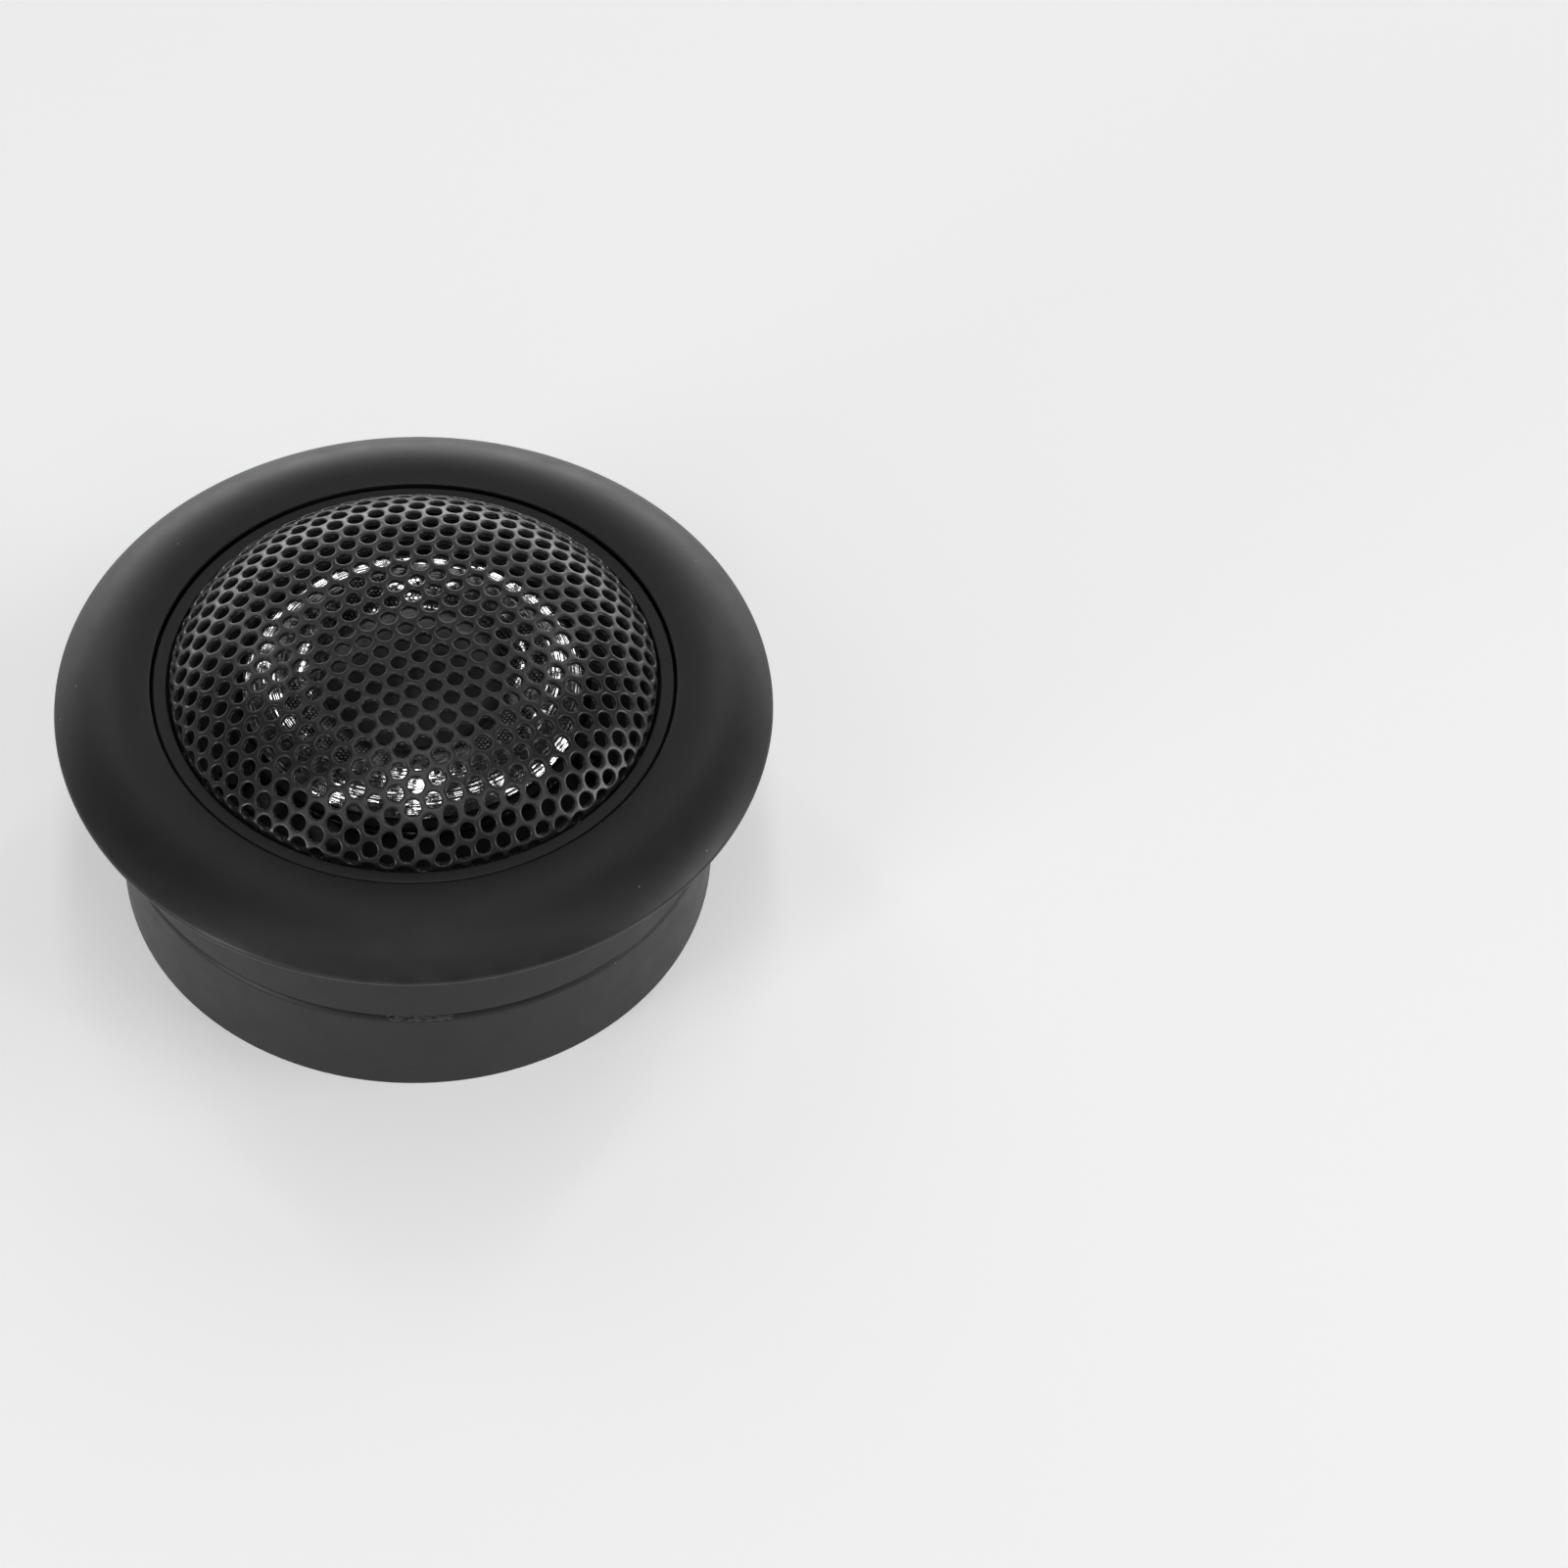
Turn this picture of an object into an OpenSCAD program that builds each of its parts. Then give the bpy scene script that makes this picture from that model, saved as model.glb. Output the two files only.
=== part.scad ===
// Surface-mount dome tweeter for a car, in millimetres.
// A base cup screws or sticks to the dashboard. The head lifts out of it. In the
// head a round pod turns and tilts, so that the dome can be aimed at the listener.
// Origin: centre of the base's underside. +Z points out of the dome.

/* [Trim ring] */
// Outer diameter of the trim ring
ring_d = 55; // [54.6:0.1:56]
// Radius of the circle that the trim ring's highest points lie on
crown_circle_r = 21.6; // [21.4:0.1:21.8]
// Height of the trim ring's highest points
crown_z = 20.85; // [20.8:0.01:20.9]
// Radius of the trim ring's rounded top, in section
crown_r = 7.7; // [7.6:0.1:8]
// Radius of the trim ring's outer edge, in section
nose_r = 0.4; // [0.3:0.05:0.5]
// Outer diameter of the neck under the trim ring
neck_d = 47; // [46.9:0.1:47.4]
// Height of the neck's lower end
neck_low_z = 8.95; // [8.9:0.01:9]

/* [Base cup] */
// Diameter of the base cup at the bottom
base_low_d = 46; // [45.6:0.1:46.6]
// Diameter of the base cup at the top
base_top_d = 46.8; // [46.6:0.1:47]
// Height of the base cup
base_h = 8.7; // [8.6:0.01:8.75]
// Rounding of the base cup's top edge
base_edge_r = 0.7; // [0.4:0.1:0.8]
// Distance between the two screw holes in the base
screw_spacing = 26; // [24:0.5:28]
// Diameter of the screw holes in the base
screw_hole_d = 3.5; // [3:0.1:3.8]
// Diameter of the cable hole in the grommet
cable_hole_d = 3.8; // [3:0.1:4.2]

/* [Grille] */
// Height of the grille's top
grille_top_z = 26.83; // [26.6:0.01:27]
// How far the grille's flat middle curves down by the opening's edge
grille_dish = 2.6; // [2.4:0.05:2.8]
// How much further its rounded shoulder falls by the opening's edge
grille_fall = 3.55; // [3.4:0.05:3.7]
// Outer radius of the grille
grille_r = 18.6; // [18.5:0.05:18.6]
// Thickness of the grille's sheet, measured upright
grille_t = 0.55; // [0.45:0.05:0.6]
// Distance between the grille's holes
hole_pitch = 1.7; // [1.6:0.1:2.4]
// Diameter of the grille's holes
hole_d = 1.24; // [1:0.02:1.3]
// Direction of the rows of holes, from +X
hole_row_angle = 19.7; // [0:0.1:60]
// Radius of the field of holes, which lies over the diaphragm
hole_field_r = 13; // [9:0.2:13.2]

/* [Swivel] */
// Radius of the pod's ball-shaped outside
ball_r = 20.75; // [20.7:0.01:20.8]
// Height of the ball's centre, which the pod tilts about
ball_z = 14.45; // [14.4:0.01:14.5]
// Gap between the pod and the trim ring
parting_gap = 0.25; // [0.2:0.01:0.3]
// Height of the pod ring's flat top
pod_top_z = 20.5; // [20.4:0.01:20.55]
// Radius of the opening in the pod ring
opening_r = 18.84; // [18.8:0.01:18.9]
// Diameter of the two trunnion pins
trunnion_d = 2.2; // [1.8:0.1:2.4]

/* [Driver] */
// Radius of the dome diaphragm
dome_r = 7; // [6.9:0.05:7]
// Height of the dome above its rim
dome_h = 2.9; // [2.2:0.1:3.1]
// Outer radius of the surround's roll
surround_r = 13.6; // [13.4:0.1:13.6]
// How far the surround's roll bulges above a straight cone
surround_h = 1.6; // [1.4:0.1:1.7]
// Height of the dome's rim
rim_z = 20.85; // [20.8:0.01:20.9]
// Height of the seat that holds the surround's outer rim
seat_z = 19.4; // [19.3:0.05:19.5]
// Thickness of the diaphragm film
film_t = 0.15; // [0.12:0.01:0.2]
// Outer radius of the steel yoke cup
yoke_r = 10.2; // [9.8:0.1:10.2]
// Radius of the magnet
magnet_r = 6.2; // [5.8:0.1:6.3]
// Outer radius of the voice coil winding
coil_r = 7.25; // [7.2:0.01:7.3]

/* [Hidden] */
$fn = 96;
cut = 1;                                  // how far a cutting shape runs past the solid

black = [0.06, 0.06, 0.065];
steel = [0.62, 0.63, 0.65];
brass = [0.8, 0.66, 0.32];

// Base cup
floor_low_z = 0.6;
floor_top_z = 2;
spigot_low_z = 5;
cup_bore_r = 21.75;
cup_lower_bore_r = 20.7;
screw_boss_r = 3.6;
screw_boss_z = 3.2;
countersink_r = 3.2;
pad_r = 20.3;
grommet_y = 13;
grommet_hole_r = 3;
grommet_flange_r = 4;
grommet_flange_t = 0.5;
key_w = 2.7;
key_gap = 0.15;
key_r = 22.3;

// Head
spigot_r = 21.6;
neck_bore_r = 22.3;
lip_z = 18.4;
clamp_top_z = 10.25;
clamp_bore_r = 20.45;
flange_z = crown_z - crown_r + sqrt(pow(crown_r - nose_r, 2)
    - pow(ring_d / 2 - nose_r - crown_circle_r, 2)) - nose_r;
neck_fillet_r = 0.6;

// Swivel
swivel_gap = 0.1;
swivel_r = neck_bore_r - swivel_gap;
swivel_inner_r = ball_r + 0.15;
trunnion_gap = 0.05;
trunnion_in_x = 18;
trunnion_out_x = 22.1;

// Pod
pod_split_z = 17.6;
pod_low_z = 9;
pod_back_z = 7.4;
pod_back_r = 14;
pod_wall = 1.5;
pod_floor_t = 1;
grille_shelf_z = 19.2;
basket_low_z = 16.6;
basket_r = 18.8;
deck_r = 17.5;
deck_z = 18.9;
hub_wall = 1.4;
ledge_w = 0.8;
ledge_t = 1;
trunnion_wall = 0.9;
trunnion_boss_l = 2.6;
pod_ring_bore_r = 17.6;
pod_screw_circle_r = 16;
pod_screw_r = 0.95;
pod_screw_head_r = 1.5;
pod_screw_head_h = 1.1;
pod_screw_low_z = 11;
pod_boss_r = 1.9;
pod_floor_z = pod_back_z + pod_floor_t;

// Motor
yoke_low_z = 12.4;
yoke_top_z = 19.5;
yoke_floor_t = 2;
gap_outer_r = 7.5;
pole_r = 6.55;
pole_t = 1.6;
former_r = 6.95;
former_t = 0.1;
former_low_z = 17.5;
coil_low_z = 17.6;
coil_h = 2;
seat_r = 14.4;
foam_r = 8.5;

// Electrical parts
capacitor_y = -14;
capacitor_z = 11.6;
capacitor_r = 2.5;
capacitor_l = 10.5;
cradle_l = 8.5;
cradle_w = 3.6;
cradle_h = 1.4;
cradle_gap = 0.05;
wire_r = 0.35;
rivet_x = 7.2;
rivet_y = -9.5;
rivet_r = 0.8;
rivet_head_r = 1.5;
rivet_head_h = 0.85;
board_l = 20;
board_w = 5;
board_t = 0.9;
tab_w = 2.8;
tab_t = 0.5;
tab_drop = 1.1;
tab_l = 6.5;
wire_low_z = 9.6;
lug_1 = [-7, -14];
lug_2 = [-11.5, -10.7];

// A tube or a plain cylinder between two heights
module tube(outer_r, inner_r, low_z, high_z) {
    translate([0, 0, low_z]) difference() {
        cylinder(r = outer_r, h = high_z - low_z);
        if (inner_r > 0) translate([0, 0, -cut]) cylinder(r = inner_r, h = high_z - low_z + 2 * cut);
    }
}

// A round wire that runs straight between the points of a path, with a small bead at each bend
module wire(path, r = wire_r) {
    for (i = [0:len(path) - 2]) {
        run = path[i + 1] - path[i];
        translate(path[i]) rotate([0, acos(run[2] / norm(run)), atan2(run[1], run[0])])
            cylinder(r = r, h = norm(run), $fn = 24);
    }
    for (i = [1:len(path) - 2]) translate(path[i]) sphere(r = 1.2 * r, $fn = 24);
}

// Half section of a ball about the pod's tilt centre
module ball_section(r) {
    translate([0, ball_z]) circle(r = r, $fn = 180);
}

// Places a copy at both screw holes of the base
module at_base_screws() {
    for (side = [-1, 1]) translate([side * screw_spacing / 2, 0, 0]) children();
}

// Places a copy at the three screws that hold the driver basket
module at_pod_screws() {
    for (angle = [90, 210, 330]) rotate(angle) translate([pod_screw_circle_r, 0, 0]) children();
}

// ---- Base ----

// The wall leans out by the base's draft and its top edge is rounded
module base_wall_section() {
    edge_x = base_top_d / 2 - base_edge_r;
    polygon([[0, 0], [base_low_d / 2, 0], [base_top_d / 2, base_h - base_edge_r],
        [edge_x, base_h - base_edge_r], [edge_x, base_h], [0, base_h]]);
    translate([edge_x, base_h - base_edge_r]) circle(r = base_edge_r);
}

module base_cup() {
    color(black) difference() {
        union() {
            difference() {
                rotate_extrude($fn = 180) base_wall_section();
                translate([0, 0, floor_top_z]) cylinder(r = cup_lower_bore_r, h = base_h);
                translate([0, 0, spigot_low_z]) cylinder(r = cup_bore_r, h = base_h);
            }
            at_base_screws() tube(screw_boss_r, 0, floor_low_z, screw_boss_z);
        }
        // recess for the adhesive pad
        translate([0, 0, -cut]) cylinder(r = pad_r, h = floor_low_z + cut);
        at_base_screws() {
            translate([0, 0, -cut]) cylinder(d = screw_hole_d, h = base_h);
            translate([0, 0, screw_boss_z - countersink_r + screw_hole_d / 2])
                cylinder(r1 = screw_hole_d / 2, r2 = countersink_r, h = countersink_r - screw_hole_d / 2);
        }
        translate([0, grommet_y, -cut]) cylinder(r = grommet_hole_r, h = floor_top_z + 2 * cut);
        // slot for the head's key
        translate([-key_w / 2 - key_gap, 0, spigot_low_z])
            cube([key_w + 2 * key_gap, key_r + key_gap, base_h]);
    }
}

module adhesive_pad() {
    color([0.16, 0.16, 0.17]) difference() {
        tube(pad_r, 0, 0, floor_low_z);
        at_base_screws() translate([0, 0, -cut]) cylinder(d = screw_hole_d + 1, h = 2 * cut + floor_low_z);
        translate([0, grommet_y, -cut]) cylinder(r = grommet_flange_r + 0.4, h = 2 * cut + floor_low_z);
    }
}

module cable_grommet() {
    color([0.09, 0.09, 0.09]) translate([0, grommet_y, 0]) difference() {
        union() {
            tube(grommet_flange_r, 0, floor_low_z - grommet_flange_t, floor_low_z);
            tube(grommet_hole_r, 0, floor_low_z, floor_top_z);
            tube(grommet_flange_r, 0, floor_top_z, floor_top_z + grommet_flange_t);
        }
        translate([0, 0, -cut]) cylinder(d = cable_hole_d, h = floor_top_z + 3 * cut);
    }
}

// ---- Head ----

// Section of the trim ring: a rounded top that ends in a small round nose, a flat
// underside, and the neck. The inside is cut by the pod's ball.
module trim_ring_section() {
    crown_centre = [crown_circle_r, crown_z - crown_r];
    nose_centre = [ring_d / 2 - nose_r, flange_z + nose_r];
    past_nose = nose_centre + (nose_centre - crown_centre) * 0.3;
    difference() {
        union() {
            intersection() {
                translate(crown_centre) circle(r = crown_r, $fn = 180);
                polygon([[ball_r * 0.9, lip_z], [neck_bore_r, lip_z], [neck_bore_r, flange_z],
                    [nose_centre[0], flange_z], nose_centre, past_nose, [past_nose[0], crown_z + cut],
                    [ball_r * 0.9, crown_z + cut]]);
            }
            translate(nose_centre) circle(r = nose_r, $fn = 48);
            translate([neck_bore_r, neck_low_z])
                square([neck_d / 2 - neck_bore_r, flange_z - neck_low_z + nose_r]);
            difference() {
                translate([neck_d / 2, flange_z - neck_fillet_r]) square(neck_fillet_r);
                translate([neck_d / 2 + neck_fillet_r, flange_z - neck_fillet_r])
                    circle(r = neck_fillet_r, $fn = 48);
            }
        }
        ball_section(ball_r + parting_gap);
    }
}

module trim_ring() {
    color(black) rotate_extrude($fn = 180) trim_ring_section();
}

module clamp_ring() {
    color([0.12, 0.12, 0.125]) {
        tube(neck_bore_r, clamp_bore_r, neck_low_z, clamp_top_z);
        tube(spigot_r, clamp_bore_r, spigot_low_z, neck_low_z);
        // key that stops the head from turning in the base
        difference() {
            translate([-key_w / 2, 0, spigot_low_z + key_gap])
                cube([key_w, key_r, neck_low_z - spigot_low_z - key_gap]);
            translate([0, 0, -cut]) cylinder(r = (spigot_r + clamp_bore_r) / 2, h = base_h + 2 * cut);
        }
    }
}

// ---- Swivel ----

module swivel_ring() {
    color([0.16, 0.16, 0.17]) difference() {
        rotate_extrude($fn = 180) difference() {
            translate([ball_r * 0.9, clamp_top_z + swivel_gap])
                square([swivel_r - ball_r * 0.9, lip_z - clamp_top_z - 2 * swivel_gap]);
            ball_section(swivel_inner_r);
        }
        translate([-ring_d / 2, 0, ball_z]) rotate([0, 90, 0])
            cylinder(r = trunnion_d / 2 + trunnion_gap, h = ring_d, $fn = 48);
    }
}

module trunnion_pins() {
    color(steel) for (side = [-1, 1])
        translate([side * trunnion_in_x, 0, ball_z]) rotate([0, side * 90, 0])
            cylinder(d = trunnion_d, h = trunnion_out_x - trunnion_in_x, $fn = 48);
}

// ---- Pod ----

module pod_ring() {
    color(black) rotate_extrude($fn = 180) intersection() {
        ball_section(ball_r);
        polygon([[pod_ring_bore_r, pod_split_z], [ball_r, pod_split_z], [ball_r, pod_top_z],
            [opening_r, pod_top_z], [opening_r, grille_shelf_z], [pod_ring_bore_r, grille_shelf_z]]);
    }
}

// Height of the grille's outside at a radius: flat in the middle, steep at the rim
function grille_z(r) = grille_top_z - grille_dish * pow(r / opening_r, 2) - grille_fall * pow(r / opening_r, 6);

// The grille is pressed as four ball zones, each through the circles at its two ends
grille_zones = [0, 10.5, 14.2, 16.8, grille_r];

// Height of the centre of the ball zone between two radii
function zone_centre_z(r1, r2) = (r2 * r2 - r1 * r1 + pow(grille_z(r2), 2) - pow(grille_z(r1), 2))
    / (2 * (grille_z(r2) - grille_z(r1)));

module grille_section() {
    for (i = [0:len(grille_zones) - 2]) {
        r1 = grille_zones[i];
        r2 = grille_zones[i + 1];
        centre_z = zone_centre_z(r1, r2);
        zone_r = norm([r2, grille_z(r2) - centre_z]);
        intersection() {
            difference() {
                translate([0, centre_z]) circle(r = zone_r, $fn = 360);
                translate([0, centre_z - grille_t]) circle(r = zone_r, $fn = 360);
            }
            translate([r1, grille_z(r2) - grille_t]) square([r2 - r1, grille_top_z]);
        }
    }
    skirt_r = grille_r - grille_t;
    polygon([[skirt_r, grille_shelf_z], [grille_r, grille_shelf_z], [grille_r, grille_z(grille_r) - grille_t / 2],
        [skirt_r, grille_z(skirt_r) - grille_t / 2]]);
}

// Pressing the dome draws the outer rows of holes inwards
draw_share = 0.11;
draw_r = 21.6;
function drawn_in(p) = p * (1 - draw_share * pow(norm(p) / draw_r, 6));

// Where the middle of the hole pattern lies from the grille's centre
hole_offset = [-0.5, -0.16];
row_step = hole_pitch * cos(30);
hole_rows = ceil(grille_r / row_step);
hole_places = [for (row = [-hole_rows:hole_rows], col = [-hole_rows:hole_rows])
    let (flat = [hole_pitch * (col + (row % 2 == 0 ? 0 : 0.5)), row * row_step],
        turned = [flat[0] * cos(hole_row_angle) - flat[1] * sin(hole_row_angle),
            flat[0] * sin(hole_row_angle) + flat[1] * cos(hole_row_angle)],
        place = drawn_in(turned + hole_offset))
    if (norm(place) + hole_d / 2 < hole_field_r) place];

// The holes are drilled in a few passes, and each pass takes every so many holes of the list
drill_passes = 3;
module drilled_grille(pass) {
    if (pass == 0) rotate_extrude($fn = 180) grille_section();
    else difference() {
        drilled_grille(pass - 1);
        for (i = [pass - 1:drill_passes:len(hole_places) - 1])
            translate([hole_places[i][0], hole_places[i][1], pod_top_z])
                cylinder(d = hole_d, h = grille_top_z, $fn = 24);
    }
}

module grille() {
    color([0.1, 0.1, 0.105]) drilled_grille(drill_passes);
}

module pod_shell() {
    color([0.1, 0.1, 0.105]) difference() {
        union() {
            rotate_extrude($fn = 180) difference() {
                intersection() {
                    ball_section(ball_r);
                    polygon([[0, pod_back_z], [pod_back_r, pod_back_z], [ball_r - 0.7, pod_low_z],
                        [ball_r + cut, pod_low_z], [ball_r + cut, pod_split_z], [0, pod_split_z]]);
                }
                intersection() {
                    ball_section(ball_r - pod_wall);
                    polygon([[0, pod_floor_z], [pod_back_r, pod_floor_z], [ball_r - 2, pod_low_z + 1.1],
                        [ball_r, pod_low_z + 1.1], [ball_r, basket_low_z], [0, basket_low_z]]);
                }
                translate([0, basket_low_z - 0.01]) square([basket_r + 0.05, 2 * cut]);
            }
            // ledge under the driver basket, and bosses for its screws
            tube(ball_r - pod_wall / 2, basket_r - ledge_w, basket_low_z - ledge_t, basket_low_z);
            at_pod_screws() tube(pod_boss_r, 0, pod_floor_z + 0.05, basket_low_z);
            for (side = [-1, 1]) translate([side * (trunnion_in_x - 1), 0, ball_z])
                rotate([0, side * 90, 0])
                    cylinder(r = trunnion_d / 2 + trunnion_wall, h = trunnion_boss_l, $fn = 48);
            // cradle for the capacitor
            translate([-cradle_l / 2, capacitor_y - cradle_w / 2, pod_floor_z - pod_floor_t / 2])
                cube([cradle_l, cradle_w, cradle_h + pod_floor_t / 2]);
        }
        at_pod_screws() translate([0, 0, pod_screw_low_z - 0.5])
            cylinder(r = pod_screw_r, h = basket_low_z, $fn = 32);
        for (side = [-1, 1]) translate([side * trunnion_in_x, 0, ball_z])
            rotate([0, side * 90, 0]) cylinder(d = trunnion_d, h = ball_r, $fn = 48);
        translate([-capacitor_l, capacitor_y, capacitor_z]) rotate([0, 90, 0])
            cylinder(r = capacitor_r + cradle_gap, h = 2 * capacitor_l);
        for (side = [-1, 1]) translate([side * rivet_x, rivet_y, 0])
            cylinder(r = rivet_r, h = basket_low_z, $fn = 32);
    }
}

// ---- Driver ----

module driver_basket() {
    hub_r = yoke_r + hub_wall;
    web_z = pod_split_z + 0.6;
    color([0.08, 0.08, 0.085]) difference() {
        rotate_extrude($fn = 180) polygon([[yoke_r, basket_low_z - hub_wall], [hub_r, basket_low_z - hub_wall],
            [hub_r, basket_low_z], [basket_r, basket_low_z], [basket_r, pod_split_z],
            [deck_r, pod_split_z], [deck_r, deck_z], [seat_r, deck_z], [seat_r, seat_z],
            [surround_r, seat_z], [surround_r, web_z], [hub_r, web_z], [hub_r, yoke_top_z],
            [yoke_r, yoke_top_z]]);
        at_pod_screws() translate([0, 0, basket_low_z - cut])
            cylinder(r = pod_screw_r + 0.1, h = 2 * cut + deck_z - basket_low_z, $fn = 32);
        for (lug = [lug_1, lug_2]) translate([lug[0], lug[1], basket_low_z - cut])
            cylinder(r = wire_r + 0.15, h = 2 * cut + deck_z - basket_low_z, $fn = 24);
    }
}

module basket_screws() {
    color([0.12, 0.12, 0.125]) at_pod_screws() difference() {
        union() {
            tube(pod_screw_r, 0, pod_screw_low_z, deck_z);
            tube(pod_screw_head_r, 0, deck_z, deck_z + pod_screw_head_h);
        }
        for (turn = [0, 90]) rotate(turn) translate([-1.1, -0.2, deck_z + pod_screw_head_h - 0.6])
            cube([2.2, 0.4, cut]);
    }
}

module diaphragm_ring() {
    color([0.08, 0.08, 0.085]) tube(seat_r - 0.1, surround_r + 0.1, seat_z + film_t, seat_z + film_t + 0.6);
}

// The roll's section is an arc from the dome's rim down to the seat, and its rim lies flat on the seat
module surround() {
    start = [dome_r + 0.05, rim_z];
    end = [surround_r, seat_z];
    chord = norm(end - start);
    down = [end[1] - start[1], start[0] - end[0]] / chord;
    roll_r = (chord * chord / 4 + surround_h * surround_h) / (2 * surround_h);
    color([0.5, 0.5, 0.52]) rotate_extrude($fn = 180) {
        intersection() {
            translate((start + end) / 2 + down * (roll_r - surround_h)) difference() {
                circle(r = roll_r);
                circle(r = roll_r - film_t);
            }
            translate([start[0], seat_z]) square([surround_r - start[0], roll_r]);
        }
        translate([surround_r - film_t, seat_z]) square([seat_r - 0.1 - surround_r + film_t, film_t]);
    }
}

module dome() {
    sphere_r = (dome_r * dome_r + dome_h * dome_h) / (2 * dome_h);
    color([0.05, 0.05, 0.052]) rotate_extrude($fn = 180) intersection() {
        translate([0, rim_z + dome_h - sphere_r]) difference() {
            circle(r = sphere_r);
            circle(r = sphere_r - film_t);
        }
        translate([0, rim_z]) square([dome_r, 2 * dome_h]);
    }
}

module coil_former() {
    color([0.75, 0.62, 0.3]) tube(former_r, former_r - former_t, former_low_z, rim_z);
}

module voice_coil() {
    color([0.72, 0.4, 0.18]) tube(coil_r, former_r, coil_low_z, coil_low_z + coil_h);
}

module damping_felt() {
    color([0.25, 0.25, 0.26]) tube(pole_r - 1, 0, yoke_top_z, yoke_top_z + 1);
}

module pole_plate() {
    color(steel) tube(pole_r, 0, yoke_top_z - pole_t, yoke_top_z);
}

module magnet() {
    color([0.7, 0.7, 0.72]) tube(magnet_r, 0, yoke_low_z + yoke_floor_t, yoke_top_z - pole_t);
}

module yoke_cup() {
    color(steel) difference() {
        tube(yoke_r, 0, yoke_low_z, yoke_top_z);
        translate([0, 0, yoke_low_z + yoke_floor_t]) cylinder(r = gap_outer_r, h = yoke_top_z);
    }
}

module damping_foam() {
    color([0.2, 0.2, 0.21]) tube(foam_r, 0, pod_floor_z, yoke_low_z);
}

// ---- Electrical parts ----

module capacitor() {
    groove_r = capacitor_r - 0.25;
    color([0.1, 0.2, 0.45]) translate([-capacitor_l / 2, capacitor_y, capacitor_z]) rotate([0, 90, 0])
        difference() {
            cylinder(r = capacitor_r, h = capacitor_l);
            translate([0, 0, 0.9]) difference() {
                cylinder(r = capacitor_r + cut, h = 0.6);
                translate([0, 0, -cut]) cylinder(r = groove_r, h = 3 * cut);
            }
        }
}

module capacitor_leads() {
    end_x = capacitor_l / 2;
    color(steel) {
        wire([[-end_x, capacitor_y, capacitor_z], [lug_1[0], lug_1[1], capacitor_z],
            [lug_1[0], lug_1[1], deck_z]]);
        wire([[end_x, capacitor_y, capacitor_z], [rivet_x, capacitor_y, capacitor_z],
            [rivet_x, capacitor_y, wire_low_z], [rivet_x, rivet_y, wire_low_z]]);
    }
}

module solder_lugs() {
    color(brass) for (lug = [lug_1, lug_2]) translate([lug[0], lug[1], deck_z]) {
        cylinder(r = 1.1, h = 0.3, $fn = 32);
        cylinder(r = 0.7, h = 0.8, $fn = 32);
    }
}

module hookup_wire() {
    color([0.1, 0.1, 0.1]) wire([[lug_2[0], lug_2[1], deck_z], [lug_2[0], lug_2[1], wire_low_z],
        [-rivet_x, rivet_y, wire_low_z]]);
}

module terminal_board() {
    color([0.35, 0.2, 0.1]) difference() {
        translate([-board_l / 2, rivet_y - board_w / 2, pod_back_z - board_t]) cube([board_l, board_w, board_t]);
        for (side = [-1, 1]) translate([side * rivet_x, rivet_y, 0])
            cylinder(r = rivet_r, h = pod_low_z, $fn = 32);
    }
}

// Each tab lies on the board, steps down and ends in a flat blade
module terminal_tabs() {
    board_low_z = pod_back_z - board_t;
    color(brass) for (side = [-1, 1]) translate([side * rivet_x, 0, 0]) difference() {
        translate([-tab_w / 2, 0, 0]) {
            translate([0, rivet_y - 1.5, board_low_z - tab_t]) cube([tab_w, 4, tab_t]);
            translate([0, rivet_y + 2, board_low_z - tab_drop]) cube([tab_w, tab_t, tab_drop]);
            translate([0, rivet_y + 2, board_low_z - tab_drop]) cube([tab_w, tab_l, tab_t]);
        }
        translate([0, rivet_y, 0]) cylinder(r = rivet_r, h = pod_low_z, $fn = 32);
        translate([0, rivet_y + tab_l - 0.6, 0]) cylinder(r = 0.6, h = pod_low_z, $fn = 32);
    }
}

module terminal_rivets() {
    tab_low_z = pod_back_z - board_t - tab_t;
    color(steel) for (side = [-1, 1]) translate([side * rivet_x, rivet_y, 0]) {
        tube(rivet_r, 0, tab_low_z, pod_floor_z);
        tube(rivet_head_r, 0, pod_floor_z, pod_floor_z + rivet_head_h);
        tube(rivet_head_r - 0.2, 0, tab_low_z - 0.4, tab_low_z);
    }
}

base_cup();
adhesive_pad();
cable_grommet();
trim_ring();
clamp_ring();
swivel_ring();
pod_ring();
grille();
pod_shell();
trunnion_pins();
driver_basket();
basket_screws();
diaphragm_ring();
surround();
dome();
coil_former();
voice_coil();
damping_felt();
pole_plate();
magnet();
yoke_cup();
damping_foam();
capacitor();
capacitor_leads();
solder_lugs();
hookup_wire();
terminal_board();
terminal_tabs();
terminal_rivets();
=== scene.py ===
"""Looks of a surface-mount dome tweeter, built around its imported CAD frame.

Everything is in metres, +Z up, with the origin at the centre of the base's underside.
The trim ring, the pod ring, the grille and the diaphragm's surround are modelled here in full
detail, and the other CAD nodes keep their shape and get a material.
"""
import math

import bmesh
import bpy
from mathutils import Matrix, Vector, noise


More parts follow.
